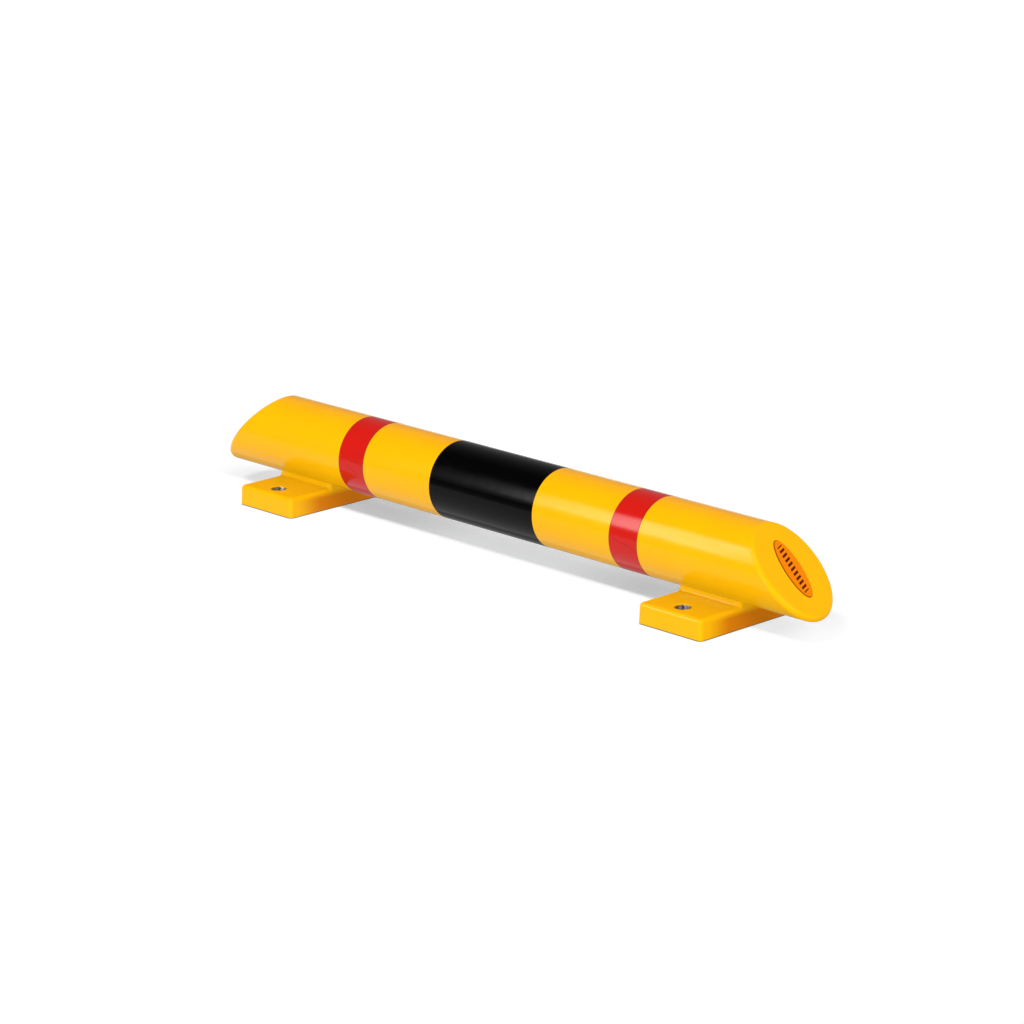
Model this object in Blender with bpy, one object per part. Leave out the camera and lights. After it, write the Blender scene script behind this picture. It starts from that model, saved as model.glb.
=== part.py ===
"""Crash protection bar: a round moulded bar with slanted ends on two bolt-down feet.

Metres, +Z up. X runs along the bar, -Y is the front and Z = 0 is the floor under the feet.
The bar, its saddles and its feet are one moulding. Steel sleeves line the four anchor holes,
coloured films lie in shallow seats round the bar and an oval badge sits in one end face.
"""

import math

import bmesh
import bpy
from mathutils import Matrix, Vector

# Bar
OVERALL_LENGTH = 1.015
BAR_DIAMETER = 0.100
END_CUT_ANGLE = math.radians(45.5)  # between the end face and the bar's axis
END_EDGE_RADIUS = 0.0058
BAR_SIDES = 80
END_EDGE_STEPS = 6

# Feet
FOOT_INSET = 0.1512  # from the bar's tip to the middle of the foot
FOOT_WIDTH = 0.1006
FOOT_DEPTH = 0.1886
FOOT_THICKNESS = 0.0257
FOOT_DRAFT = math.radians(1.6)
FOOT_CORNER_RADIUS = 0.0058
FOOT_TOP_RADIUS = 0.0053
FOOT_BOTTOM_RADIUS = 0.001

# Saddles between the feet and the bar
SADDLE_DEPTH = 0.051
SADDLE_FOOT_FILLET = 0.003
SADDLE_BAR_FILLET = 0.002
SADDLE_SINK = 0.0002  # how far the saddle's hidden back lies under the bar's surface
SADDLE_HUG = math.radians(30)  # how far it follows the bar round from the fillet
ARC_STEPS = 4
HUG_STEPS = 6

# Anchor holes, two in each foot, and their sleeves
ANCHOR_BORE = 0.018
ANCHOR_EDGE_DISTANCE = 0.0240  # from the foot's front or rear edge to the hole's middle
SLEEVE_WALL = 0.0015
SLEEVE_RECESS = 0.0006
SLEEVE_CHAMFER = 0.0005
HOLE_EDGE_RADIUS = 0.0006
HOLE_EDGE_STEPS = 2
HOLE_SIDES = 40

# Films round the bar
BLACK_BAND_WIDTH = 0.1812
BLACK_BAND_SHIFT = -0.0036  # the black band was laid a little off the middle
RED_BAND_WIDTH = 0.0458
RED_BAND_SETBACK = 0.0438  # from the foot's inner side to the band
FILM_THICKNESS = 0.0004
FILM_SEAT_DEPTH = 0.0006

# Badge in the right end face
BADGE_LENGTH = 0.079
BADGE_WIDTH = 0.0285
BADGE_THICKNESS = 0.001
BADGE_SEAT_DEPTH = 0.0008
BADGE_EDGE_RADIUS = 0.0003
BADGE_SIDES = 64

# Gap between pieces that touch
FIT_GAP = 0.0003

bar_radius = BAR_DIAMETER / 2
bar_height = FOOT_THICKNESS + bar_radius  # the bar's underside lies level with the feet's tops
foot_x = OVERALL_LENGTH / 2 - FOOT_INSET
red_band_x = foot_x - FOOT_WIDTH / 2 - RED_BAND_SETBACK - RED_BAND_WIDTH / 2
anchor_y = FOOT_DEPTH / 2 - ANCHOR_EDGE_DISTANCE
sleeve_radius = ANCHOR_BORE / 2 + SLEEVE_WALL
hole_radius = sleeve_radius + FIT_GAP
spine_radius = bar_radius - END_EDGE_RADIUS
end_normal = Vector((math.sin(END_CUT_ANGLE), 0, math.cos(END_CUT_ANGLE)))

# Where the middle line of the end edge's rounding crosses the bar's axis
spine_x = OVERALL_LENGTH / 2 - END_EDGE_RADIUS - spine_radius / math.tan(END_CUT_ANGLE)


def clear_scene():
    for old in list(bpy.data.objects):
        bpy.data.objects.remove(old)


def make_collection(name):
    collection = bpy.data.collections.new(name)
    bpy.context.scene.collection.children.link(collection)
    return collection


def make_material(name, color, roughness, metallic=0.0):
    material = bpy.data.materials.new(name)
    material.use_nodes = True
    shader = material.node_tree.nodes["Principled BSDF"]
    shader.inputs["Base Color"].default_value = (*color, 1.0)
    shader.inputs["Roughness"].default_value = roughness
    shader.inputs["Metallic"].default_value = metallic
    return material


def make_object(name, bm, collection):
    mesh = bpy.data.meshes.new(name)
    bm.to_mesh(mesh)
    bm.free()
    obj = bpy.data.objects.new(name, mesh)
    collection.objects.link(obj)
    return obj


def finish_part(obj, material):
    obj.data.materials.append(material)
    obj.data.shade_smooth()
    obj.data.set_sharp_from_angle(angle=math.radians(30))


def make_tool(name, bm):
    tool = make_object(name, bm, tools)
    tool.hide_render = True
    tool.display_type = "WIRE"
    return tool


def combine(obj, tool, operation):
    modifier = obj.modifiers.new(f"{operation.lower()}_{tool.name}", "BOOLEAN")
    modifier.operation = operation
    modifier.solver = "EXACT"
    modifier.object = tool


def arc(center, radius, start, end, steps):
    """Points round a flat arc, angles in radians."""
    angles = [start + (end - start) * step / steps for step in range(steps + 1)]
    return [(center[0] + radius * math.cos(a), center[1] + radius * math.sin(a)) for a in angles]


def turned(profile, sides):
    """Spins a closed profile of (radius, height) points round Z."""
    bm = bmesh.new()
    verts = [bm.verts.new((radius, 0, height)) for radius, height in profile]
    sides_of_profile = zip(verts, verts[1:] + verts[:1])
    edges = [bm.edges.new(pair) for pair in sides_of_profile if max(v.co.x for v in pair) > 0]
    bmesh.ops.spin(
        bm,
        geom=verts + edges,
        axis=(0, 0, 1),
        cent=(0, 0, 0),
        angle=math.tau,
        steps=sides,
        use_merge=True,
    )
    bmesh.ops.remove_doubles(bm, verts=bm.verts, dist=1e-6)
    bmesh.ops.recalc_face_normals(bm, faces=bm.faces)
    return bm


def end_ring(side, turn):
    """One ring of the end edge's rounding, a ball's path round the slanted face.

    turn runs from 0, where the rounding leaves the bar, to 1, where it meets the face.
    """
    ring = []
    for step in range(BAR_SIDES):
        angle = math.tau * step / BAR_SIDES
        outward = Vector((0, math.cos(angle), math.sin(angle)))
        spine = Vector((spine_x - spine_radius * outward.z / math.tan(END_CUT_ANGLE), 0, 0))
        point = spine + spine_radius * outward + END_EDGE_RADIUS * outward.slerp(end_normal, turn)
        ring.append((side * point.x, point.y, point.z + bar_height))
    return ring


def round_ring(x, radius):
    angles = [math.tau * step / BAR_SIDES for step in range(BAR_SIDES)]
    return [(x, radius * math.cos(a), radius * math.sin(a) + bar_height) for a in angles]


def seat_rings(middle, width):
    """Four rings that turn a shallow seat for a film round the bar."""
    low = middle - width / 2 - FIT_GAP
    high = middle + width / 2 + FIT_GAP
    floor = bar_radius - FILM_SEAT_DEPTH
    return [
        round_ring(low, bar_radius),
        round_ring(low, floor),
        round_ring(high, floor),
        round_ring(high, bar_radius),
    ]


def make_bar():
    """The round bar, lofted from one end face to the other."""
    turns = [step / END_EDGE_STEPS for step in range(END_EDGE_STEPS + 1)]
    rings = [end_ring(-1, turn) for turn in reversed(turns)]
    rings += seat_rings(-red_band_x, RED_BAND_WIDTH)
    rings += seat_rings(BLACK_BAND_SHIFT, BLACK_BAND_WIDTH)
    rings += seat_rings(red_band_x, RED_BAND_WIDTH)
    rings += [end_ring(1, turn) for turn in turns]

    bm = bmesh.new()
    loops = [[bm.verts.new(point) for point in ring] for ring in rings]
    for near, far in zip(loops, loops[1:]):
        for i in range(BAR_SIDES):
            bm.faces.new((near[i - 1], near[i], far[i], far[i - 1]))
    bm.faces.new(loops[0])
    bm.faces.new(loops[-1])
    bmesh.ops.recalc_face_normals(bm, faces=bm.faces)
    return make_object("bar_body", bm, parts)


def foot_outline():
    """The foot and saddle seen along the bar: right half, from the floor to inside the bar."""
    half_depth = FOOT_DEPTH / 2
    half_saddle = SADDLE_DEPTH / 2
    top_y = half_depth - FOOT_THICKNESS * math.tan(FOOT_DRAFT)
    foot_center = (half_saddle + SADDLE_FOOT_FILLET, FOOT_THICKNESS + SADDLE_FOOT_FILLET)

    # The upper fillet rolls round the wall and the bar, and then the outline follows the bar
    hug_radius = bar_radius - SADDLE_SINK
    fillet_y = half_saddle + SADDLE_BAR_FILLET
    slope = -math.acos(fillet_y / (hug_radius + SADDLE_BAR_FILLET))
    fillet_center = (fillet_y, bar_height + fillet_y * math.tan(slope))

    half = [(half_depth, 0), (top_y, FOOT_THICKNESS)]
    half += arc(foot_center, SADDLE_FOOT_FILLET, -math.pi / 2, -math.pi, ARC_STEPS)
    half += arc(fillet_center, SADDLE_BAR_FILLET, math.pi, math.pi + slope, ARC_STEPS)
    half += arc((0, bar_height), hug_radius, slope, slope + SADDLE_HUG, HUG_STEPS)[1:]
    return half


def sharp_edges(bm, low, high):
    """Edges between low and high where two faces meet at more than 30 degrees."""
    found = []
    for edge in bm.edges:
        heights = [vert.co.z for vert in edge.verts]
        if min(heights) > low and max(heights) < high and edge.calc_face_angle() > math.radians(30):
            found.append(edge)
    return found


def round_edges(bm, edges, radius, steps):
    bmesh.ops.bevel(
        bm,
        geom=edges,
        offset=radius,
        segments=steps,
        profile=0.5,
        affect="EDGES",
        clamp_overlap=False,
        material=-1,
    )


def make_foot(name, x):
    """A tapered foot with its saddle, ready to be joined to the bar."""
    tiny = 1e-5
    half = foot_outline()
    outline = half + [(-y, z) for y, z in reversed(half)]
    rounded_top = half[-HUG_STEPS // 2][1]

    bm = bmesh.new()
    face = bm.faces.new([bm.verts.new((0, y, z)) for y, z in outline])
    grown = bmesh.ops.extrude_face_region(bm, geom=[face])["geom"]
    far = {item for item in grown if isinstance(item, bmesh.types.BMVert)}
    for vert in bm.verts:
        half_width = FOOT_WIDTH / 2 - vert.co.z * math.tan(FOOT_DRAFT)
        vert.co.x = x + half_width if vert in far else x - half_width
    bmesh.ops.recalc_face_normals(bm, faces=bm.faces)

    corners = [
        edge
        for edge in bm.edges
        if abs(edge.verts[0].co.z - edge.verts[1].co.z) > FOOT_THICKNESS / 2
        and min(abs(vert.co.y) for vert in edge.verts) > SADDLE_DEPTH
    ]
    round_edges(bm, corners, FOOT_CORNER_RADIUS, 6)
    round_edges(bm, sharp_edges(bm, FOOT_THICKNESS - tiny, rounded_top + tiny), FOOT_TOP_RADIUS, 4)
    round_edges(bm, sharp_edges(bm, -tiny, tiny), FOOT_BOTTOM_RADIUS, 2)
    return make_tool(name, bm)


def make_hole_cutter(name, x, y):
    """A through hole with a rounded upper edge."""
    edge_center = (hole_radius + HOLE_EDGE_RADIUS, FOOT_THICKNESS - HOLE_EDGE_RADIUS)
    edge = arc(edge_center, HOLE_EDGE_RADIUS, math.pi / 2, math.pi, HOLE_EDGE_STEPS)
    over = FOOT_THICKNESS / 2
    profile = [(0, FOOT_THICKNESS + over), (edge[0][0], FOOT_THICKNESS + over)]
    profile += edge
    profile += [(hole_radius, -over), (0, -over)]
    cutter = make_tool(name, turned(profile, HOLE_SIDES))
    cutter.location = (x, y, 0)
    return cutter


def make_sleeve(name, x, y, material):
    """A steel sleeve that takes the clamping force of one floor anchor."""
    top = FOOT_THICKNESS - SLEEVE_RECESS
    inner = ANCHOR_BORE / 2
    mouth = inner + SLEEVE_CHAMFER
    profile = [
        (mouth, top),
        (sleeve_radius, top),
        (sleeve_radius, 0),
        (mouth, 0),
        (inner, SLEEVE_CHAMFER),
        (inner, top - SLEEVE_CHAMFER),
    ]
    sleeve = make_object(name, turned(profile, HOLE_SIDES), parts)
    sleeve.location = (x, y, 0)
    finish_part(sleeve, material)


def make_band(name, x, width, material):
    """A film that lies in its seat round the bar."""
    inner = bar_radius - FILM_SEAT_DEPTH + FIT_GAP
    outer = inner + FILM_THICKNESS
    half = width / 2
    band = make_object(
        name,
        turned([(inner, half), (outer, half), (outer, -half), (inner, -half)], BAR_SIDES),
        parts,
    )
    band.rotation_euler = (0, math.pi / 2, 0)
    band.location = (x, 0, bar_height)
    finish_part(band, material)


def oval(length, width, thickness):
    """An upright oval plate with its underside at Z = 0, its length along X."""
    bm = bmesh.new()
    bmesh.ops.create_circle(bm, cap_ends=True, segments=BADGE_SIDES, radius=0.5)
    bmesh.ops.scale(bm, verts=bm.verts, vec=(length, width, 1))
    grown = bmesh.ops.extrude_face_region(bm, geom=list(bm.faces))["geom"]
    raised = [item for item in grown if isinstance(item, bmesh.types.BMVert)]
    bmesh.ops.translate(bm, verts=raised, vec=(0, 0, thickness))
    bmesh.ops.recalc_face_normals(bm, faces=bm.faces)
    return bm


def end_face_frame(depth):
    """The frame of the right end face, depth below it: X down the slope, Z out of the face."""
    face_middle = Vector((spine_x, 0, bar_height)) + END_EDGE_RADIUS * end_normal
    down = Vector((math.cos(END_CUT_ANGLE), 0, -math.sin(END_CUT_ANGLE)))
    across = end_normal.cross(down)
    frame = Matrix((down, across, end_normal)).transposed().to_4x4()
    frame.translation = face_middle - depth * end_normal
    return frame


def make_badge_cutter():
    seat = oval(BADGE_LENGTH + 2 * FIT_GAP, BADGE_WIDTH + 2 * FIT_GAP, 2 * BADGE_SEAT_DEPTH)
    cutter = make_tool("badge_seat", seat)
    cutter.matrix_world = end_face_frame(BADGE_SEAT_DEPTH)
    return cutter


def make_badge(material):
    bm = oval(BADGE_LENGTH, BADGE_WIDTH, BADGE_THICKNESS)
    rim = [edge for edge in bm.edges if all(vert.co.z > BADGE_THICKNESS / 2 for vert in edge.verts)]
    round_edges(bm, rim, BADGE_EDGE_RADIUS, 2)
    badge = make_object("end_badge", bm, parts)
    badge.matrix_world = end_face_frame(BADGE_SEAT_DEPTH - FIT_GAP)
    finish_part(badge, material)


clear_scene()
parts = make_collection("crash_protection_bar")
tools = make_collection("tools")

yellow = make_material("yellow_moulding", (0.93, 0.54, 0.005), 0.28)
steel = make_material("sleeve_steel", (0.55, 0.55, 0.56), 0.3, metallic=1.0)
black_film = make_material("black_film", (0.006, 0.006, 0.006), 0.15)
red_film = make_material("red_film", (0.65, 0.02, 0.015), 0.18)
orange = make_material("badge_orange", (0.9, 0.22, 0.01), 0.3)

body = make_bar()
for side_name, side in (("left", -1), ("right", 1)):
    combine(body, make_foot(f"foot_{side_name}", side * foot_x), "UNION")
for side_name, side in (("left", -1), ("right", 1)):
    for row_name, row in (("front", -1), ("rear", 1)):
        place = (side * foot_x, row * anchor_y)
        combine(body, make_hole_cutter(f"hole_{row_name}_{side_name}", *place), "DIFFERENCE")
        make_sleeve(f"anchor_sleeve_{row_name}_{side_name}", *place, steel)
combine(body, make_badge_cutter(), "DIFFERENCE")
finish_part(body, yellow)

make_band("black_band", BLACK_BAND_SHIFT, BLACK_BAND_WIDTH, black_film)
make_band("red_band_left", -red_band_x, RED_BAND_WIDTH, red_film)
make_band("red_band_right", red_band_x, RED_BAND_WIDTH, red_film)
make_badge(orange)
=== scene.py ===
import math

import bmesh
import bpy
from mathutils import Matrix, Vector


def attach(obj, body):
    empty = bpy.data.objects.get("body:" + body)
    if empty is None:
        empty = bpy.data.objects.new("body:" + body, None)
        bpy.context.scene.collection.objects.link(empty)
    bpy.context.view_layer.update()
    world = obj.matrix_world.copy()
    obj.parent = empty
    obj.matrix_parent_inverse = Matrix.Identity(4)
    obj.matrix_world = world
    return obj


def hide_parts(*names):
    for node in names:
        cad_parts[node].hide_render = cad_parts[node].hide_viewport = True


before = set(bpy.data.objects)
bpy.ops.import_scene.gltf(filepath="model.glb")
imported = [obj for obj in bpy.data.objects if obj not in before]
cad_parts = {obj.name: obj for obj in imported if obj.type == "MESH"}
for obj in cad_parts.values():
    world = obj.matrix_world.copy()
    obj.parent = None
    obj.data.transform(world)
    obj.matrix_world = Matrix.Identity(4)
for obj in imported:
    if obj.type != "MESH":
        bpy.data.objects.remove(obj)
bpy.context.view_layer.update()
print("frame loaded:", len(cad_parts), "nodes")


# Helpers for meshes and pieces

mergeDistance = 1e-6
hardEdge = math.radians(32)  # edges steeper than this are shaded as edges


def walkTo(bm, vert, co):
    # one new vertex at co, joined to vert by an edge
    fresh = bmesh.ops.extrude_vert_indiv(bm, verts=[vert])["verts"][0]
    fresh.co = co
    return fresh


def sweepAbout(bm, vert, center, angle, steps):
    # an arc about a line along X, from vert
    last = bmesh.ops.spin(
        bm, geom=[vert], cent=center, axis=(1, 0, 0), angle=angle, steps=steps
    )["geom_last"]
    return next(item for item in last if isinstance(item, bmesh.types.BMVert))


def spinRound(bm, center, axis, steps):
    # turns the whole profile into a closed ring
    bmesh.ops.spin(
        bm,
        geom=bm.verts[:] + bm.edges[:],
        cent=center,
        axis=axis,
        angle=math.tau,
        steps=steps,
        use_merge=True,
    )
    bmesh.ops.remove_doubles(bm, verts=bm.verts, dist=mergeDistance)
    bmesh.ops.recalc_face_normals(bm, faces=bm.faces)


def growRing(bm, ring):
    # a new ring of edges joined to this one: its vertices and its edges
    grown = bmesh.ops.extrude_edge_only(bm, edges=ring)["geom"]
    fresh = {item for item in grown if isinstance(item, bmesh.types.BMVert)}
    edges = [item for item in grown if isinstance(item, bmesh.types.BMEdge)]
    return fresh, [edge for edge in edges if set(edge.verts) <= fresh]


def roundOver(bm, geom, radius, steps, affect="EDGES"):
    bmesh.ops.bevel(
        bm,
        geom=geom,
        offset=radius,
        segments=steps,
        profile=0.5,
        affect=affect,
        clamp_overlap=False,
        material=-1,
    )


def makeObject(name, bm):
    mesh = bpy.data.meshes.new(name)
    bm.to_mesh(mesh)
    bm.free()
    obj = bpy.data.objects.new(name, mesh)
    bpy.context.scene.collection.objects.link(obj)
    return obj


def finishPiece(piece, material, node):
    piece.data.materials.clear()
    piece.data.materials.append(material)
    piece.data.shade_smooth()
    piece.data.set_sharp_from_angle(angle=hardEdge)
    even = piece.modifiers.new("evenShading", "WEIGHTED_NORMAL")
    even.weight = 100
    even.keep_sharp = True
    piece.visible_diffuse = False  # its bounced light would tint the feet and the shadow
    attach(piece, "root")
    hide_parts(node)


# Helpers for materials

noiseSpread = (0.3, 0.7)  # where most of a noise's values lie


def addNode(tree, kind, inputs=None, **settings):
    node = tree.nodes.new(kind)
    for key, value in settings.items():
        setattr(node, key, value)
    for key, value in (inputs or {}).items():
        if isinstance(value, bpy.types.NodeSocket):
            tree.links.new(value, node.inputs[key])
        else:
            node.inputs[key].default_value = value
    return node


def calc(tree, operation, *values):
    return addNode(tree, "ShaderNodeMath", dict(enumerate(values)), operation=operation).outputs[0]


def product(tree, first, *others):
    for value in others:
        first = calc(tree, "MULTIPLY", first, value)
    return first


def distanceFrom(tree, value, middle):
    return calc(tree, "ABSOLUTE", calc(tree, "SUBTRACT", value, middle))


def axesOf(tree, place):
    return addNode(tree, "ShaderNodeSeparateXYZ", {0: place}).outputs


def vectorCalc(tree, operation, inputs):
    return addNode(tree, "ShaderNodeVectorMath", inputs, operation=operation).outputs[0]


def blendColors(tree, amount, first, second):
    inputs = {0: amount, 6: first, 7: second}
    return addNode(tree, "ShaderNodeMix", inputs, data_type="RGBA").outputs[2]


def remap(tree, value, fromLow, fromHigh, low=0.0, high=1.0, **settings):
    inputs = {0: value, 1: fromLow, 2: fromHigh, 3: low, 4: high}
    return addNode(tree, "ShaderNodeMapRange", inputs, **settings).outputs[0]


def noise(tree, place, scale, detail):
    inputs = {"Vector": place, "Scale": scale, "Detail": detail}
    return addNode(tree, "ShaderNodeTexNoise", inputs).outputs[0]


def bump(tree, height, strength, distance, normal=None):
    inputs = {"Strength": strength, "Distance": distance, "Height": height}
    if normal:
        inputs["Normal"] = normal
    return addNode(tree, "ShaderNodeBump", inputs).outputs[0]


def unevenness(tree, place, look, normal=None):
    height = noise(tree, place, look["scale"], look["detail"])
    return bump(tree, height, look["strength"], look["height"], normal)


def rgb(*values):
    return (*values, 1.0)


def newMaterial(name):
    # for a piece: its material, node tree, shader and object coordinates
    material = bpy.data.materials.new(name)
    material.use_nodes = True
    tree = material.node_tree
    shader = tree.nodes["Principled BSDF"]
    place = addNode(tree, "ShaderNodeTexCoord").outputs["Object"]
    return material, tree, shader, place


def bareMaterial(name):
    # for the staging: a material with no nodes yet, never sampled as a lamp
    material = bpy.data.materials.new(name)
    material.use_nodes = True
    material.cycles.emission_sampling = "NONE"
    tree = material.node_tree
    tree.nodes.clear()
    return material, tree


def setSurface(tree, shader):
    addNode(tree, "ShaderNodeOutputMaterial", {"Surface": shader.outputs[0]})


# Camera, from the photo's own geometry; the picture is 1024 x 1024

cameraSetup = {
    "azimuth": math.radians(45.491),
    "elevation": math.radians(16.043),
    "distance": 4.5024,
    "target": Vector((0.0023, 0, 0.0533)),
    "lens": 128.0,
    "sensor": 36.0,
    "clipEnd": 100,
}


def makeCamera():
    setup = cameraSetup
    flat = math.cos(setup["elevation"])
    back = Vector((
        math.sin(setup["azimuth"]) * flat,
        -math.cos(setup["azimuth"]) * flat,
        math.sin(setup["elevation"]),
    ))
    camera = bpy.data.objects.new("camera", bpy.data.cameras.new("camera"))
    camera.data.lens = setup["lens"]
    camera.data.sensor_width = setup["sensor"]
    camera.data.clip_end = setup["clipEnd"]
    camera.location = setup["target"] + setup["distance"] * back
    camera.rotation_mode = "QUATERNION"
    camera.rotation_quaternion = (-back).to_track_quat("-Z", "Y")
    bpy.context.scene.collection.objects.link(camera)
    bpy.context.scene.camera = camera


makeCamera()
print("camera placed")


# Moulding: the round bar, its two feet and their saddles

barShape = {
    "length": 1.015,
    "radius": 0.050,
    "axisHeight": 0.0757,
    "cutAngle": math.radians(45.5),  # between the end face and the axis
    "endRounding": 0.0058,
    "endSteps": 14,
    "sides": 192,
}
filmShape = {
    "blackWidth": 0.1812,
    "blackMiddle": -0.0036,
    "redWidth": 0.0458,
    "redMiddle": 0.2393,
    "seatDepth": 0.0006,
    "seatGap": 0.0003,  # at each side of a film
    "sideGap": 0.0001,  # what is left of it here, where a film lies flat on its seat
    "standsProud": 0.0001,
    "edgeRounding": 0.00012,
    "edgeSteps": 3,
}
footShape = {
    "middle": 0.3563,
    "width": 0.1006,
    "depth": 0.1886,
    "thickness": 0.0257,
    "draft": math.radians(1.6),
    "cornerRadius": 0.0058,
    "cornerSteps": 10,
    "topRadius": 0.0053,
    "topSteps": 8,
    "bottomRadius": 0.001,
    "bottomSteps": 3,
    "saddleDepth": 0.051,
    "lowerFillet": 0.003,
    "upperFillet": 0.002,
    "filletSteps": 8,
    "sink": 0.0002,  # of the saddle's hidden back under the bar's surface
    "hug": math.radians(30),  # how far that back follows the bar
    "hugSteps": 10,
    "roundedBelow": math.radians(45),  # round the bar from its lowest line, for the saddle's edges
    "roundedFrom": math.radians(30),  # edges steeper than this are rounded
}
holeShape = {
    "fromEdge": 0.0240,  # of the foot, to the middle of the hole
    "radius": 0.0108,
    "rimRounding": 0.0006,
    "rimSteps": 5,
    "sides": 96,
}
sleeveShape = {
    "outer": 0.01075,
    "bore": 0.0090,
    "mouth": 0.0005,  # chamfer
    "top": 0.0251,
}

faceNormal = Vector((math.sin(barShape["cutAngle"]), 0, math.cos(barShape["cutAngle"])))
spineRadius = barShape["radius"] - barShape["endRounding"]
spineMiddle = (
    barShape["length"] / 2
    - barShape["endRounding"]
    - spineRadius / math.tan(barShape["cutAngle"])
)


def endPoint(angle, turn, side):
    # where a ball that rolls round the end's edge touches: turn 0 on the bar, 1 on the face
    outward = Vector((0, math.cos(angle), math.sin(angle)))
    spine = Vector((spineMiddle - spineRadius * outward.z / math.tan(barShape["cutAngle"]), 0, 0))
    point = spine + spineRadius * outward
    point += barShape["endRounding"] * outward.slerp(faceNormal, turn)
    return (side * point.x, point.y, point.z + barShape["axisHeight"])


def roundPoint(angle, x, radius):
    return (x, radius * math.cos(angle), radius * math.sin(angle) + barShape["axisHeight"])


def barStations():
    # the rings from the left face to the right one, each as a function of the angle
    turns = [step / barShape["endSteps"] for step in range(barShape["endSteps"] + 1)]
    stations = [lambda angle, t=turn: endPoint(angle, t, -1) for turn in reversed(turns)]
    films = (
        (-filmShape["redMiddle"], filmShape["redWidth"]),
        (filmShape["blackMiddle"], filmShape["blackWidth"]),
        (filmShape["redMiddle"], filmShape["redWidth"]),
    )
    full = barShape["radius"]
    sunk = full - filmShape["seatDepth"]
    for middle, width in films:
        low = middle - width / 2 - filmShape["seatGap"]
        high = middle + width / 2 + filmShape["seatGap"]
        for x, radius in ((low, full), (low, sunk), (high, sunk), (high, full)):
            stations.append(lambda angle, x=x, radius=radius: roundPoint(angle, x, radius))
    stations += [lambda angle, t=turn: endPoint(angle, t, 1) for turn in turns]
    return stations


def makeBar():
    first, *others = barStations()
    bm = bmesh.new()
    angle = bm.verts.layers.float.new("angle")
    bmesh.ops.create_circle(bm, cap_ends=True, segments=barShape["sides"], radius=1)
    for vert in bm.verts:
        vert[angle] = math.atan2(vert.co.y, vert.co.x)
        vert.co = first(vert[angle])
    ring = bm.edges[:]
    for station in others:
        fresh, ring = growRing(bm, ring)
        for vert in fresh:
            vert.co = station(vert[angle])
    bmesh.ops.contextual_create(bm, geom=ring)
    bm.verts.layers.float.remove(bm.verts.layers.float["angle"])
    bmesh.ops.recalc_face_normals(bm, faces=bm.faces)
    return makeObject("crashBar", bm)


def drawFootOutline(bm):
    # the foot and its saddle seen along the bar: the right half is drawn and mirrored
    shape = footShape
    axisHeight = barShape["axisHeight"]
    halfDepth = shape["depth"] / 2
    halfSaddle = shape["saddleDepth"] / 2
    thickness = shape["thickness"]
    lower = shape["lowerFillet"]
    upper = shape["upperFillet"]
    filletY = halfSaddle + upper
    slope = -math.acos(filletY / (barShape["radius"] - shape["sink"] + upper))
    filletZ = axisHeight + filletY * math.tan(slope)

    floorCorner = bm.verts.new((0, halfDepth, 0))
    vert = walkTo(bm, floorCorner, (0, halfDepth - thickness * math.tan(shape["draft"]), thickness))
    vert = walkTo(bm, vert, (0, halfSaddle + lower, thickness))
    lowerCenter = (0, halfSaddle + lower, thickness + lower)
    vert = sweepAbout(bm, vert, lowerCenter, -math.pi / 2, shape["filletSteps"])
    vert = walkTo(bm, vert, (0, halfSaddle, filletZ))
    vert = sweepAbout(bm, vert, (0, filletY, filletZ), slope, shape["filletSteps"])
    inside = sweepAbout(bm, vert, (0, 0, axisHeight), shape["hug"], shape["hugSteps"])
    bmesh.ops.mirror(bm, geom=bm.verts[:] + bm.edges[:], axis="Y", merge_dist=0)
    for vert in (floorCorner, inside):
        bm.verts.ensure_lookup_table()
        twin = min(bm.verts, key=lambda v: (v.co - Vector((0, -vert.co.y, vert.co.z))).length)
        bm.edges.new((vert, twin))
    bmesh.ops.contextual_create(bm, geom=bm.edges[:])


def edgesWhere(bm, test):
    return [edge for edge in bm.edges if test(edge)]


def isSharpBetween(edge, low, high):
    # within these heights, and steep enough to be rounded
    heights = [vert.co.z for vert in edge.verts]
    if min(heights) <= low or max(heights) >= high:
        return False
    return edge.calc_face_angle() > footShape["roundedFrom"]


def makeFoot(x):
    shape = footShape
    thickness = shape["thickness"]
    tiny = 1e-5
    bm = bmesh.new()
    drawFootOutline(bm)
    grown = bmesh.ops.extrude_face_region(bm, geom=bm.faces[:])["geom"]
    far = {item for item in grown if isinstance(item, bmesh.types.BMVert)}
    for vert in bm.verts:  # the draft narrows the foot upwards
        half = shape["width"] / 2 - vert.co.z * math.tan(shape["draft"])
        vert.co.x = x + half if vert in far else x - half
    bmesh.ops.recalc_face_normals(bm, faces=bm.faces)

    def isCorner(edge):
        rise = abs(edge.verts[0].co.z - edge.verts[1].co.z)
        return rise > thickness / 2 and min(abs(v.co.y) for v in edge.verts) > shape["saddleDepth"]

    roundOver(bm, edgesWhere(bm, isCorner), shape["cornerRadius"], shape["cornerSteps"])
    highest = barShape["axisHeight"] - barShape["radius"] * math.cos(shape["roundedBelow"])
    top = edgesWhere(bm, lambda edge: isSharpBetween(edge, thickness - tiny, highest))
    roundOver(bm, top, shape["topRadius"], shape["topSteps"])
    bottom = edgesWhere(bm, lambda edge: isSharpBetween(edge, -tiny, tiny))
    roundOver(bm, bottom, shape["bottomRadius"], shape["bottomSteps"])
    return makeObject("foot", bm)


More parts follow.
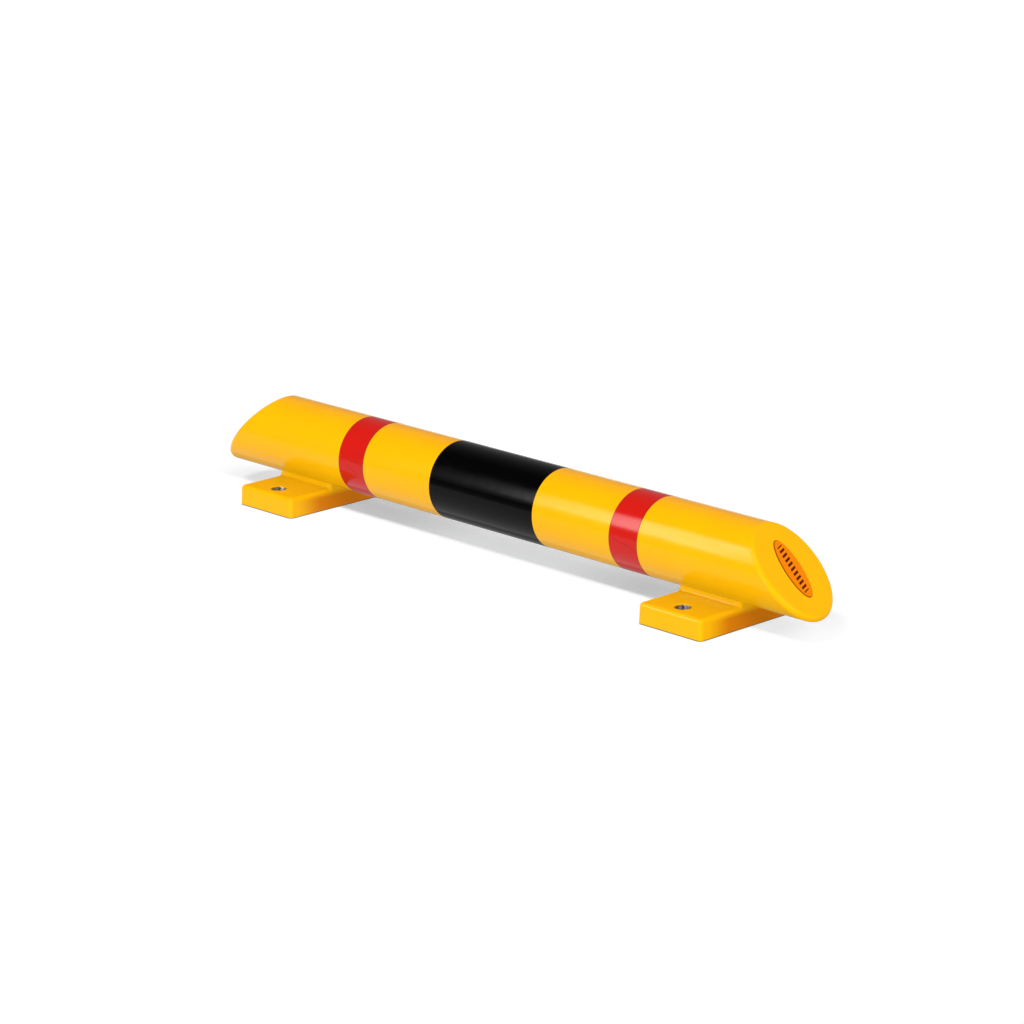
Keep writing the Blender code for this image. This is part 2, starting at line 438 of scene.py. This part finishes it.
def makeHoleCutter(x, y):
    # a hole through the foot, with a rounded upper rim
    radius = holeShape["radius"]
    rim = holeShape["rimRounding"]
    top = footShape["thickness"]
    over = top / 2
    bm = bmesh.new()
    bmesh.ops.create_circle(bm, cap_ends=True, segments=holeShape["sides"], radius=radius)
    bmesh.ops.translate(bm, verts=bm.verts, vec=(x, y, -over))
    levels = [(radius, top - rim)]  # the cutter's radius and height, upwards
    for step in range(1, holeShape["rimSteps"] + 1):
        turn = math.pi / 2 * step / holeShape["rimSteps"]
        levels.append((radius + rim * (1 - math.cos(turn)), top - rim * (1 - math.sin(turn))))
    levels.append((radius + rim, top + over))
    ring = bm.edges[:]
    size = radius
    for wanted, height in levels:
        fresh, ring = growRing(bm, ring)
        for vert in fresh:
            vert.co.x = x + (vert.co.x - x) * wanted / size
            vert.co.y = y + (vert.co.y - y) * wanted / size
            vert.co.z = height
        size = wanted
    bmesh.ops.contextual_create(bm, geom=ring)
    bmesh.ops.recalc_face_normals(bm, faces=bm.faces)
    return makeObject("holeCutter", bm)


badgeShape = {
    "length": 0.079,
    "width": 0.0285,
    "thickness": 0.0011,
    "seatDepth": 0.0008,
    "seatGap": 0.0003,
    "lift": 0.0001,  # of the badge off its seat
    "rimRounding": 0.0004,
    "rimSteps": 4,
    "sides": 128,
}


def endFaceFrame(depth):
    # the right end face, depth below it: X down the slope, Z out of the face
    middle = Vector((spineMiddle, 0, barShape["axisHeight"]))
    middle += (barShape["endRounding"] - depth) * faceNormal
    down = Vector((math.cos(barShape["cutAngle"]), 0, -math.sin(barShape["cutAngle"])))
    across = faceNormal.cross(down)
    place = Matrix((down, across, faceNormal)).transposed().to_4x4()
    place.translation = middle
    return place


def makeOval(length, width, thickness, depth):
    # an oval disc, the edges of its upper rim and its place, depth below the end face
    bm = bmesh.new()
    bmesh.ops.create_circle(bm, cap_ends=True, segments=badgeShape["sides"], radius=0.5)
    bmesh.ops.scale(bm, verts=bm.verts, vec=(length, width, 1))
    grown = bmesh.ops.extrude_face_region(bm, geom=bm.faces[:])["geom"]
    raised = [item for item in grown if isinstance(item, bmesh.types.BMVert)]
    bmesh.ops.translate(bm, verts=raised, vec=(0, 0, thickness))
    bmesh.ops.recalc_face_normals(bm, faces=bm.faces)
    rim = edgesWhere(bm, lambda edge: min(v.co.z for v in edge.verts) > thickness / 2)
    return bm, rim, endFaceFrame(depth)


def makeBadgeSeat():
    shape = badgeShape
    wider = 2 * shape["seatGap"]
    bm, _, place = makeOval(
        shape["length"] + wider, shape["width"] + wider, 2 * shape["seatDepth"], shape["seatDepth"]
    )
    bmesh.ops.transform(bm, matrix=place, verts=bm.verts)
    return makeObject("badgeSeat", bm)


def applyTools(piece, tools):
    # joins or cuts with each tool, keeps the result as the piece's own mesh
    for tool, operation in tools:
        work = piece.modifiers.new(tool.name, "BOOLEAN")
        work.operation = operation
        work.solver = "EXACT"
        work.object = tool
    graph = bpy.context.evaluated_depsgraph_get()
    made = bpy.data.meshes.new_from_object(piece.evaluated_get(graph))
    piece.modifiers.clear()
    piece.data = made
    for tool, _ in tools:
        bpy.data.objects.remove(tool)


def anchorPlaces():
    fromMiddle = footShape["depth"] / 2 - holeShape["fromEdge"]
    for sideName, side in (("left", -1), ("right", 1)):
        for rowName, row in (("front", -1), ("rear", 1)):
            yield f"{rowName}_{sideName}", side * footShape["middle"], row * fromMiddle


def makeMoulding(material):
    bar = makeBar()
    tools = [(makeFoot(side * footShape["middle"]), "UNION") for side in (-1, 1)]
    tools += [(makeHoleCutter(x, y), "DIFFERENCE") for _, x, y in anchorPlaces()]
    tools.append((makeBadgeSeat(), "DIFFERENCE"))
    applyTools(bar, tools)
    finishPiece(bar, material, "bar_body")
    print("moulding made:", len(bar.data.vertices), "vertices")


yellowFinish = {
    "color": rgb(0.985, 0.50, 0.0018),
    "deeper": rgb(0.955, 0.475, 0.0018),
    "cloudScale": 16,
    "cloudSpread": (0.35, 0.7),  # of the noise, from one colour to the other
    "roughness": (0.135, 0.185),  # at the smoothest and at the roughest
    "patchScale": 60,
    "gloss": 0.125,
    "flow": {"scale": 45, "detail": 1, "strength": 0.2, "height": 0.0002},
    "peel": {"scale": 750, "detail": 2, "strength": 0.12, "height": 0.0001},
    "footSideShade": rgb(0.70, 0.17, 0.001),  # painted shade: what the feet's sides deepen to below the bar, where the bar shades them
    "footSideShadeShare": 0.85,
    "fromSide": (0.005, 0.003),  # inwards, where that starts and is full
    "fromTop": (0.002, 0.009),  # downwards
    "fromMiddle": (0.080, 0.045),  # along y
}


def footSideShadeShare(tree, place, look):
    # where the painted shade falls: 1 on the feet's sides below the bar, 0 at their front and rear
    # corners and on top
    x, y, z = axesOf(tree, place)
    half, top = footShape["width"] / 2, footShape["thickness"]
    aside = distanceFrom(tree, calc(tree, "ABSOLUTE", x), footShape["middle"])
    onSide = remap(tree, aside, *(half - inset for inset in look["fromSide"]))
    below = remap(tree, z, *(top - drop for drop in look["fromTop"]))
    inward = remap(tree, calc(tree, "ABSOLUTE", y), *look["fromMiddle"])
    return product(tree, onSide, below, inward)


def yellowMoulding():
    material, tree, shader, place = newMaterial("yellowMoulding")
    look = yellowFinish
    clouds = remap(tree, noise(tree, place, look["cloudScale"], 4), *look["cloudSpread"])
    color = blendColors(tree, clouds, look["color"], look["deeper"])
    # the feet's sides below the bar take on a painted shade
    shadeShare = product(tree, footSideShadeShare(tree, place, look), look["footSideShadeShare"])
    tree.links.new(blendColors(tree, shadeShare, color, look["footSideShade"]), shader.inputs["Base Color"])
    shader.inputs["Specular IOR Level"].default_value = look["gloss"]
    patches = noise(tree, place, look["patchScale"], 3)
    rough = remap(tree, patches, *noiseSpread, *look["roughness"])
    tree.links.new(rough, shader.inputs["Roughness"])
    flow = unevenness(tree, place, look["flow"])
    tree.links.new(unevenness(tree, place, look["peel"], flow), shader.inputs["Normal"])
    return material


makeMoulding(yellowMoulding())


# Films round the bar

filmSurface = {
    "patchScale": 40,
    "flow": {"scale": 70, "detail": 1, "strength": 0.25, "height": 0.0002},
}
blackFinish = {
    "color": rgb(0.0012, 0.0012, 0.0014),
    "roughness": (0.125, 0.16),
    "gloss": 0.085,
}
redFinish = {
    "color": rgb(0.60, 0.0125, 0.0085),
    "roughness": (0.07, 0.105),
    "gloss": 0.165,
    # painted shade along the film's edges
    "edge": rgb(0.30, 0.006, 0.004),
    "edgeWidth": 0.0012,
    # painted shade in the creases
    "crease": rgb(0.40, 0.008, 0.006),
    "creaseWidth": 0.0009,
    "creaseFade": 0.006,  # at both its ends
    "creaseStrength": 0.35,
    "creaseHeight": 0.0003,
    "wander": 0.006,  # how far a crease strays from its line
    "wanderScale": 90,
    "speck": rgb(0.62, 0.16, 0.14),
    "speckScale": 420,
    "speckSpread": (0.78, 0.84),  # of the noise, where a speck starts and is full
    "speckShare": 0.5,
    "creases": (  # in the front, each from x, z to x, z
        (0.2185, 0.0790, 0.2625, 0.0672),
        (-0.2500, 0.0828, -0.2180, 0.0796),
        (-0.2500, 0.0745, -0.2240, 0.0625),
    ),
}


def creaseShare(tree, place, look):
    # 1 along each fine crease, 0 off it
    x, y, z = axesOf(tree, place)
    wavy = calc(tree, "SUBTRACT", noise(tree, place, look["wanderScale"], 1), 0.5)
    stray = product(tree, wavy, look["wander"])
    total = 0.0
    for startX, startZ, endX, endZ in look["creases"]:
        length = math.hypot(endX - startX, endZ - startZ)
        alongX, alongZ = (endX - startX) / length, (endZ - startZ) / length
        fromX = calc(tree, "SUBTRACT", x, startX)
        fromZ = calc(tree, "SUBTRACT", z, startZ)
        along = calc(tree, "ADD", product(tree, fromX, alongX), product(tree, fromZ, alongZ))
        off = calc(tree, "SUBTRACT", product(tree, fromZ, alongX), product(tree, fromX, alongZ))
        off = calc(tree, "ABSOLUTE", calc(tree, "ADD", off, stray))
        near = remap(tree, off, 0.0, look["creaseWidth"], 1.0, 0.0)
        fromMiddle = distanceFrom(tree, along, length / 2)
        inside = remap(tree, fromMiddle, length / 2, length / 2 - look["creaseFade"])
        total = calc(tree, "ADD", total, product(tree, near, inside))
    return product(tree, total, calc(tree, "LESS_THAN", y, 0.0))


def paintRedShadeAndDust(material, look):
    # painted shade along the edges and in the fine creases, which are also bumped, and a few specks
    # of dust
    tree = material.node_tree
    shader = tree.nodes["Principled BSDF"]
    place = addNode(tree, "ShaderNodeTexCoord").outputs["Object"]
    x = axesOf(tree, place)[0]
    half = filmShape["redWidth"] / 2
    aside = distanceFrom(tree, calc(tree, "ABSOLUTE", x), filmShape["redMiddle"])
    onShadedEdge = remap(tree, aside, half - look["edgeWidth"], half)
    crease = calc(tree, "MINIMUM", creaseShare(tree, place, look), 1.0)
    dust = noise(tree, place, look["speckScale"], 1)
    specks = remap(tree, dust, *look["speckSpread"], 0.0, look["speckShare"])
    # the edges and creases darken to a painted shade, then specks of dust go on
    color = blendColors(tree, onShadedEdge, look["color"], look["edge"])
    color = blendColors(tree, crease, color, look["crease"])
    color = blendColors(tree, specks, color, look["speck"])
    tree.links.new(color, shader.inputs["Base Color"])
    flow = shader.inputs["Normal"].links[0].from_socket
    creased = bump(tree, crease, look["creaseStrength"], look["creaseHeight"], flow)
    tree.links.new(creased, shader.inputs["Normal"])


def glossyFilm(name, look):
    material, tree, shader, place = newMaterial(name)
    shader.inputs["Base Color"].default_value = look["color"]
    shader.inputs["Specular IOR Level"].default_value = look["gloss"]
    patches = noise(tree, place, filmSurface["patchScale"], 3)
    rough = remap(tree, patches, *noiseSpread, *look["roughness"])
    tree.links.new(rough, shader.inputs["Roughness"])
    tree.links.new(unevenness(tree, place, filmSurface["flow"]), shader.inputs["Normal"])
    return material


def makeFilm(name, node, x, width, material):
    shape = filmShape
    inner = barShape["radius"] - shape["seatDepth"]
    outer = barShape["radius"] + shape["standsProud"]
    half = width / 2 + shape["seatGap"] - shape["sideGap"]
    axisHeight = barShape["axisHeight"]
    bm = bmesh.new()
    start = bm.verts.new((x - half, 0, axisHeight + inner))
    corners = [walkTo(bm, start, (x - half, 0, axisHeight + outer))]
    corners.append(walkTo(bm, corners[0], (x + half, 0, axisHeight + outer)))
    end = walkTo(bm, corners[1], (x + half, 0, axisHeight + inner))
    bm.edges.new((end, start))
    roundOver(bm, corners, shape["edgeRounding"], shape["edgeSteps"], affect="VERTICES")
    spinRound(bm, (x, 0, axisHeight), (1, 0, 0), barShape["sides"])
    finishPiece(makeObject(name, bm), material, node)


black = glossyFilm("blackFilm", blackFinish)
red = glossyFilm("redFilm", redFinish)
paintRedShadeAndDust(red, redFinish)
makeFilm(
    "middleFilm",
    "black_band",
    filmShape["blackMiddle"],
    filmShape["blackWidth"],
    black,
)
for sideName, side in (("left", -1), ("right", 1)):
    makeFilm(
        f"{sideName}Film",
        f"red_band_{sideName}",
        side * filmShape["redMiddle"],
        filmShape["redWidth"],
        red,
    )
print("films made")


# Steel sleeves in the anchor holes

steelFinish = {
    "color": rgb(0.66, 0.60, 0.57),
    "darker": rgb(0.50, 0.45, 0.42),
    "roughness": (0.33, 0.41),
    "anisotropy": 0.9,  # turned: the light spreads up and down the bore
    "anisotropyTurn": 0.25,
    "ringScale": (60, 60, 4000),  # of the fine turning marks
    "ringStrength": 0.2,
    "ringHeight": 0.00004,
}


def turnedSteel():
    material, tree, shader, place = newMaterial("turnedSteel")
    look = steelFinish
    shader.inputs["Metallic"].default_value = 1.0
    shader.inputs["Anisotropic"].default_value = look["anisotropy"]
    shader.inputs["Anisotropic Rotation"].default_value = look["anisotropyTurn"]
    stretch = {"Vector": place, "Scale": look["ringScale"]}
    rings = noise(tree, addNode(tree, "ShaderNodeMapping", stretch).outputs[0], 1.0, 2)
    color = blendColors(tree, rings, look["color"], look["darker"])
    tree.links.new(color, shader.inputs["Base Color"])
    rough = remap(tree, rings, *noiseSpread, *look["roughness"])
    tree.links.new(rough, shader.inputs["Roughness"])
    marks = bump(tree, rings, look["ringStrength"], look["ringHeight"])
    tree.links.new(marks, shader.inputs["Normal"])
    return material


def makeSleeve(name, node, x, y, material):
    shape = sleeveShape
    mouth = shape["bore"] + shape["mouth"]
    bm = bmesh.new()
    start = bm.verts.new((x + mouth, y, shape["top"]))
    vert = start
    for radius, height in (
        (shape["outer"], shape["top"]),
        (shape["outer"], 0),
        (mouth, 0),
        (shape["bore"], shape["mouth"]),
        (shape["bore"], shape["top"] - shape["mouth"]),
    ):
        vert = walkTo(bm, vert, (x + radius, y, height))
    bm.edges.new((vert, start))
    spinRound(bm, (x, y, 0), (0, 0, 1), holeShape["sides"])
    finishPiece(makeObject(name, bm), material, node)


steel = turnedSteel()
for placeName, x, y in anchorPlaces():
    makeSleeve(f"sleeve_{placeName}", f"anchor_sleeve_{placeName}", x, y, steel)
print("sleeves made")


# Badge in the right end face: an orange oval with a dark rim and a row of plain slanted bars

badgePrint = {
    "orange": rgb(0.87, 0.245, 0.0005),
    "deeper": rgb(0.84, 0.225, 0.0005),
    "marks": rgb(0.10, 0.008, 0.001),
    "edge": rgb(0.30, 0.05, 0.001),
    "rim": 0.0006,
    "rimShift": 0.0006,  # the orange oval sits a little off the dark one
    "rimStart": 0.985,  # of the oval's radius, where the rim's colour starts
    "barPitch": 0.0062,
    "barShare": 0.5,
    "barSoftness": 0.02,
    "barSlant": 0.35,
    "barHalfHeight": 0.0047,
    "rowHalfLength": 0.031,
    "cloudScale": 120,
    "gloss": 0.08,
    "roughness": (0.24, 0.34),  # of the orange and of the dark print
    "grain": {"scale": 900, "detail": 2, "strength": 0.1, "height": 0.0001},
}


def printedBadge():
    material, tree, shader, place = newMaterial("printedBadge")
    look = badgePrint
    face = endFaceFrame(0)
    onFace = {"Vector": place, "Location": face.translation, "Rotation": face.to_euler()}
    local = addNode(tree, "ShaderNodeMapping", onFace, vector_type="TEXTURE").outputs[0]
    down, across, _ = axesOf(tree, local)

    # the orange oval
    halfLength = badgeShape["length"] / 2 - look["rim"]
    halfWidth = badgeShape["width"] / 2 - look["rim"]
    u = calc(tree, "DIVIDE", down, halfLength)
    v = calc(tree, "DIVIDE", calc(tree, "SUBTRACT", across, look["rimShift"]), halfWidth)
    square = calc(tree, "ADD", product(tree, u, u), product(tree, v, v))
    onRim = remap(tree, calc(tree, "SQRT", square), look["rimStart"], 1.0)

    # the row of bars
    slanted = calc(tree, "ADD", down, product(tree, across, look["barSlant"]))
    count = calc(tree, "DIVIDE", slanted, look["barPitch"])
    step = calc(tree, "FRACT", calc(tree, "ADD", count, 0.5))
    fromBar = distanceFrom(tree, step, 0.5)
    half, soft = look["barShare"] / 2, look["barSoftness"]
    inBar = remap(tree, fromBar, half - soft, half + soft, 1.0, 0.0)
    inHeight = calc(tree, "LESS_THAN", calc(tree, "ABSOLUTE", across), look["barHalfHeight"])
    inRow = calc(tree, "LESS_THAN", calc(tree, "ABSOLUTE", slanted), look["rowHalfLength"])
    bars = product(tree, inBar, inHeight, inRow)

    dark = calc(tree, "MAXIMUM", onRim, bars)
    clouds = remap(tree, noise(tree, place, look["cloudScale"], 3), *noiseSpread)
    orange = blendColors(tree, clouds, look["orange"], look["deeper"])
    printed = blendColors(tree, bars, orange, look["marks"])
    tree.links.new(blendColors(tree, onRim, printed, look["edge"]), shader.inputs["Base Color"])
    shader.inputs["Specular IOR Level"].default_value = look["gloss"]
    rough = remap(tree, dark, 0.0, 1.0, *look["roughness"])
    tree.links.new(rough, shader.inputs["Roughness"])
    tree.links.new(unevenness(tree, place, look["grain"]), shader.inputs["Normal"])
    return material


def makeBadge():
    shape = badgeShape
    wider = shape["seatGap"]  # leaves half the seat's gap all round
    depth = shape["seatDepth"] - shape["lift"]
    bm, rim, place = makeOval(
        shape["length"] + wider, shape["width"] + wider, shape["thickness"], depth
    )
    roundOver(bm, rim, shape["rimRounding"], shape["rimSteps"])
    bmesh.ops.transform(bm, matrix=place, verts=bm.verts)
    finishPiece(makeObject("endBadge", bm), printedBadge(), "end_badge")


makeBadge()
print("badge made")


# Floor, surround and light

floorLook = {
    "size": 60.0,
    "white": 1.02,  # of the floor with no shadow on it
    "light": 0.83,  # that falls on it
    "middle": rgb(0.99, 0.98, 0.98),  # how strongly it shows the shadow below the black film
    "beside": rgb(1.41, 1.41, 1.41),  # and below the yellow
    "besideFade": (0.08, 0.21),  # from the black film's middle, from one to the other
    "ends": (  # towards the bar's ends: where along x it changes, from and to, and to what
        (-0.32, -0.46, rgb(0.90, 0.90, 0.90)),
        (-0.53, -0.58, rgb(0.30, 0.30, 0.30)),
        (0.30, 0.36, rgb(0.65, 0.64, 0.65)),
        (0.44, 0.49, rgb(0.30, 0.30, 0.30)),
    ),
    "unseen": rgb(0.45, 0.45, 0.45),  # its colour for the light it throws up at the bar
    "shadowStart": (-0.021, -0.008),  # along y, from none to all of it
    "contactWidth": 0.0024,  # of the painted contact shadow, a dark line round each foot
    "contactStart": (0.001, 0.006),  # in from the foot's left side
    # the colour of the painted contact shadow
    "contact": rgb(0.10, 0.045, 0.01),
    "warmLight": 0.12,  # what the warm fill adds to its red
}


def showsBackground(tree):
    # 1 for the rays that show the background: straight, mirrored or through glass
    path = addNode(tree, "ShaderNodeLightPath").outputs
    seen = calc(tree, "MAXIMUM", path["Is Camera Ray"], path["Is Glossy Ray"])
    return calc(tree, "MAXIMUM", seen, path["Is Transmission Ray"])


def footDistance(tree, x, y):
    # from the edge of the nearer foot, along the floor
    corner = footShape["cornerRadius"]
    halfWidth = footShape["width"] / 2 - corner
    halfDepth = footShape["depth"] / 2 - corner
    aside = distanceFrom(tree, calc(tree, "ABSOLUTE", x), footShape["middle"])
    aside = calc(tree, "MAXIMUM", calc(tree, "SUBTRACT", aside, halfWidth), 0.0)
    along = calc(tree, "SUBTRACT", calc(tree, "ABSOLUTE", y), halfDepth)
    along = calc(tree, "MAXIMUM", along, 0.0)
    squares = [product(tree, value, value) for value in (aside, along)]
    return calc(tree, "SUBTRACT", calc(tree, "SQRT", calc(tree, "ADD", *squares)), corner)


def blendShaders(tree, amount, first, second):
    inputs = {0: amount, 1: first.outputs[0], 2: second.outputs[0]}
    return addNode(tree, "ShaderNodeMixShader", inputs)


def paleFloor():
    # it glows by what its own shade lacks to white, so only the shadow shows on it
    material, tree = bareMaterial("paleFloor")
    look = floorLook
    x, y, _ = axesOf(tree, addNode(tree, "ShaderNodeTexCoord").outputs["Object"])
    beside = remap(tree, distanceFrom(tree, x, filmShape["blackMiddle"]), *look["besideFade"])
    depth = blendColors(tree, beside, look["middle"], look["beside"])
    for start, end, color in look["ends"]:
        depth = blendColors(tree, remap(tree, x, start, end), depth, color)
    shown = remap(tree, y, *look["shadowStart"])
    depth = vectorCalc(tree, "SCALE", {0: depth, "Scale": shown})
    shade = addNode(tree, "ShaderNodeBsdfDiffuse", {"Color": depth})
    light = (-look["light"] - look["warmLight"], -look["light"], -look["light"])
    dimmed = vectorCalc(tree, "MULTIPLY", {0: depth, 1: light})
    glow = vectorCalc(tree, "ADD", {0: dimmed, 1: (look["white"],) * 3})
    light = addNode(tree, "ShaderNodeEmission", {"Color": glow, "Strength": 1.0})
    seen = addNode(tree, "ShaderNodeAddShader", {0: shade.outputs[0], 1: light.outputs[0]})

    # the painted contact shadow: a thin dark line where the feet stand
    dark = remap(tree, footDistance(tree, x, y), 0.0, look["contactWidth"], 1.0, 0.0)
    footMiddle = product(tree, calc(tree, "SIGN", x), footShape["middle"])
    fromSide = calc(tree, "ADD", calc(tree, "SUBTRACT", x, footMiddle), footShape["width"] / 2)
    dark = product(tree, dark, remap(tree, fromSide, *look["contactStart"]))
    contact = addNode(tree, "ShaderNodeEmission", {"Color": look["contact"]})
    seen = blendShaders(tree, dark, seen, contact)

    unseen = addNode(tree, "ShaderNodeBsdfDiffuse", {"Color": look["unseen"]})
    setSurface(tree, blendShaders(tree, showsBackground(tree), unseen, seen))
    return material


def makeFloor():
    bm = bmesh.new()
    bmesh.ops.create_grid(bm, x_segments=1, y_segments=1, size=floorLook["size"] / 2)
    floor = makeObject("floor", bm)
    floor.data.materials.append(paleFloor())


# each lamp: the way it comes from (degrees from the front towards +X, and up), its apparent size
# in degrees and its strength; the fills cast no shadow, and gloss shows only the mirrored ones
lampSet = {
    "keyLeft": {"from": (-12, 59), "size": 9, "power": 0.288, "mirrored": True},
    "keyMiddle": {"from": (0, 59), "size": 9, "power": 0.221, "mirrored": True},
    "keyRight": {"from": (12, 59), "size": 9, "power": 0.276, "mirrored": True},
    "keyFill": {"from": (0, 59), "size": 30, "power": 0.101, "shadow": False},
    "front": {"from": (0, 15), "size": 20, "power": 0.351, "mirrored": True},
    "frontHigh": {"from": (0, 30), "size": 20, "power": 0.206, "mirrored": True},
    "right": {"from": (76, 24), "size": 24, "power": 0.660, "mirrored": True},
    "overEnd": {"from": (95, 45), "size": 30, "power": 0.510},
    "lowFill": {"from": (0, 4), "size": 10, "power": 0.316, "shadow": False},
    "middleFill": {"from": (0, 13), "size": 9, "power": 0.329, "mirrored": True, "shadow": False},
    "leftFill": {"from": (-40, 10), "size": 20, "power": 0.343, "shadow": False},
    "rightFill": {"from": (40, 15), "size": 20, "power": 0.335, "shadow": False},
    "highEndFill": {"from": (95, 45), "size": 30, "power": 0.066, "shadow": False},
    "lowEndFill": {"from": (105, 15), "size": 20, "power": 0.440, "shadow": False},
    "underFill": {"from": (20, -40), "size": 40, "power": 0.487, "shadow": False},
    "sideFill": {"from": (75, -30), "size": 30, "power": 0.380, "shadow": False},
    "farFill": {"from": (-80, 0), "size": 30, "power": 0.047, "shadow": False},
    "backFill": {"from": (180, -5), "size": 30, "power": 1.0, "shadow": False},
    "backLeftFill": {"from": (-130, 0), "size": 30, "power": 1.2, "shadow": False},
    "warmFill": {"from": (0, 80), "size": 40, "power": 0.38, "shadow": False, "color": (1, 0, 0)},
}
softboxLook = {
    "low": Vector((-2.40, -1.5, 0.25)),
    "high": Vector((-0.60, -1.5, 2.40)),
    "strength": 15.0,
    "lean": 0.35,  # of its left edge, metres across for each metre up
    "edge": -1.185,  # where that edge meets the floor's height
    "start": (-0.06, 0.04, 0.40),  # from and to, in metres right of the edge, and how bright
    "rise": (0.04, 0.45, 0.60),  # brighter still, the same way
    "end": (0.50, 0.60),  # where it fades out
    "veil": (-0.45, -0.03, 0.04),
    "bottom": (0.32, 0.66),  # heights, where it fades in and out
    "top": (1.5, 2.35),
}


def makeLamp(name, setup):
    lamp = bpy.data.lights.new(name, "SUN")
    lamp.angle = math.radians(setup["size"])
    lamp.energy = setup["power"]
    lamp.color = setup.get("color", (1, 1, 1))
    lamp.use_shadow = setup.get("shadow", True)
    obj = bpy.data.objects.new(name, lamp)
    azimuth, elevation = (math.radians(angle) for angle in setup["from"])
    source = Vector((
        math.sin(azimuth) * math.cos(elevation),
        -math.cos(azimuth) * math.cos(elevation),
        math.sin(elevation),
    ))
    obj.rotation_euler = (-source).to_track_quat("-Z", "Y").to_euler()
    obj.visible_glossy = setup.get("mirrored", False)
    obj.visible_camera = False
    bpy.context.scene.collection.objects.link(obj)


def softboxGlow():
    # brighter to the right, with a faint veil left of its slanting edge
    material, tree = bareMaterial("softboxGlow")
    look = softboxLook
    smooth = {"interpolation_type": "SMOOTHSTEP"}

    def fade(name, value, **settings):
        start, end, level = look[name]
        return remap(tree, value, start, end, 0.0, level, **settings)

    x, _, z = axesOf(tree, addNode(tree, "ShaderNodeTexCoord").outputs["Object"])
    inside = calc(tree, "ADD", x, product(tree, z, look["lean"]))
    inside = calc(tree, "SUBTRACT", inside, look["edge"])
    body = calc(tree, "ADD", fade("start", inside, **smooth), fade("rise", inside))
    body = product(tree, body, remap(tree, inside, *look["end"], 1.0, 0.0))
    body = product(tree, body, remap(tree, z, *look["bottom"], **smooth))
    power = calc(tree, "MAXIMUM", body, fade("veil", inside, **smooth))
    high = remap(tree, z, *look["top"], 1.0, 0.0)
    strength = product(tree, power, high, look["strength"])
    setSurface(tree, addNode(tree, "ShaderNodeEmission", {"Strength": strength}))
    return material


def showOnlyInGloss(card):
    # it lights nothing by itself, casts no shadow, and the camera doesn't see it
    card.visible_camera = False
    card.visible_diffuse = False
    card.visible_shadow = False


def makeSoftbox():
    low, high = softboxLook["low"], softboxLook["high"]
    bm = bmesh.new()
    bmesh.ops.create_grid(bm, x_segments=1, y_segments=1, size=0.5)
    stand = Matrix.Rotation(math.radians(90), 4, "X")
    bmesh.ops.transform(bm, matrix=stand, verts=bm.verts)
    bmesh.ops.scale(bm, vec=(high.x - low.x, 1, high.z - low.z), verts=bm.verts)
    bmesh.ops.translate(bm, vec=(low + high) / 2, verts=bm.verts)
    card = makeObject("softbox", bm)
    card.data.materials.append(softboxGlow())
    showOnlyInGloss(card)


# dark sheets over the floor, which only gloss shows: a dark card in front of the bar, and below the
# bar and below its right end a painted shadow that the bar mirrors, with painted warm bounced light
# below the end
sheetSet = {
    "frontSheet": {
        "low": (-30, -30), "high": (30, -0.46), "height": 0.002, "shade": (0.2, 0.2, 0.2),
    },
    # painted shadow of the floor below the bar, seen only as the bar mirrors it
    "underSheet": {
        "low": (-0.58, -0.03), "high": (0.58, 0.30), "height": 0.001, "shade": (0.36, 0.36, 0.36),
    },
    # painted shadow and warm bounced light below the right end, seen only as the bar mirrors it
    "endSheet": {
        "low": (0.40, -0.13), "high": (0.60, 0.30), "height": 0.0015, "shade": (0.34, 0.26, 0.12),
    },
}


def makeSheet(name, setup):
    material, tree = bareMaterial(name)
    setSurface(tree, addNode(tree, "ShaderNodeEmission", {"Color": rgb(*setup["shade"])}))
    low = Vector((*setup["low"], setup["height"]))
    high = Vector((*setup["high"], setup["height"]))
    bm = bmesh.new()
    bmesh.ops.create_grid(bm, x_segments=1, y_segments=1, size=0.5)
    bmesh.ops.scale(bm, vec=(high.x - low.x, high.y - low.y, 1), verts=bm.verts)
    bmesh.ops.translate(bm, vec=(low + high) / 2, verts=bm.verts)
    sheet = makeObject(name, bm)
    sheet.data.materials.append(material)
    showOnlyInGloss(sheet)


surroundLook = {
    "radius": 20.0,
    "dim": rgb(0.02, 0.02, 0.02),
    "behind": rgb(0.42, 0.42, 0.42),
}


def dimSurround():
    # what shines back at the bar from the room: nearly dark, a little paler behind
    material, tree = bareMaterial("dimSurround")
    y = axesOf(tree, addNode(tree, "ShaderNodeTexCoord").outputs["Object"])[1]
    behind = remap(tree, y, 0, surroundLook["radius"])
    color = blendColors(tree, behind, surroundLook["dim"], surroundLook["behind"])
    setSurface(tree, addNode(tree, "ShaderNodeEmission", {"Color": color}))
    return material


def makeSurround():
    bm = bmesh.new()
    bmesh.ops.create_icosphere(bm, subdivisions=4, radius=surroundLook["radius"])
    room = makeObject("surround", bm)
    room.data.materials.append(dimSurround())
    showOnlyInGloss(room)
    room.visible_transmission = False


ambientLevel = 0.216


def makeWorld():
    # an even ambient light, and white where the background itself is seen
    world = bpy.data.worlds.new("studio")
    world.use_nodes = True
    tree = world.node_tree
    tree.nodes.clear()
    ambient = rgb(ambientLevel, ambientLevel, ambientLevel)
    color = blendColors(tree, showsBackground(tree), ambient, rgb(1, 1, 1))
    sky = addNode(tree, "ShaderNodeBackground", {"Color": color, "Strength": 1.0})
    addNode(tree, "ShaderNodeOutputWorld", {"Surface": sky.outputs[0]})
    bpy.context.scene.world = world


makeFloor()
for lampName, setup in lampSet.items():
    makeLamp(lampName, setup)
makeSoftbox()
for sheetName, setup in sheetSet.items():
    makeSheet(sheetName, setup)
makeSurround()
makeWorld()
bpy.context.scene.view_settings.view_transform = "Standard"
print("floor and light made")
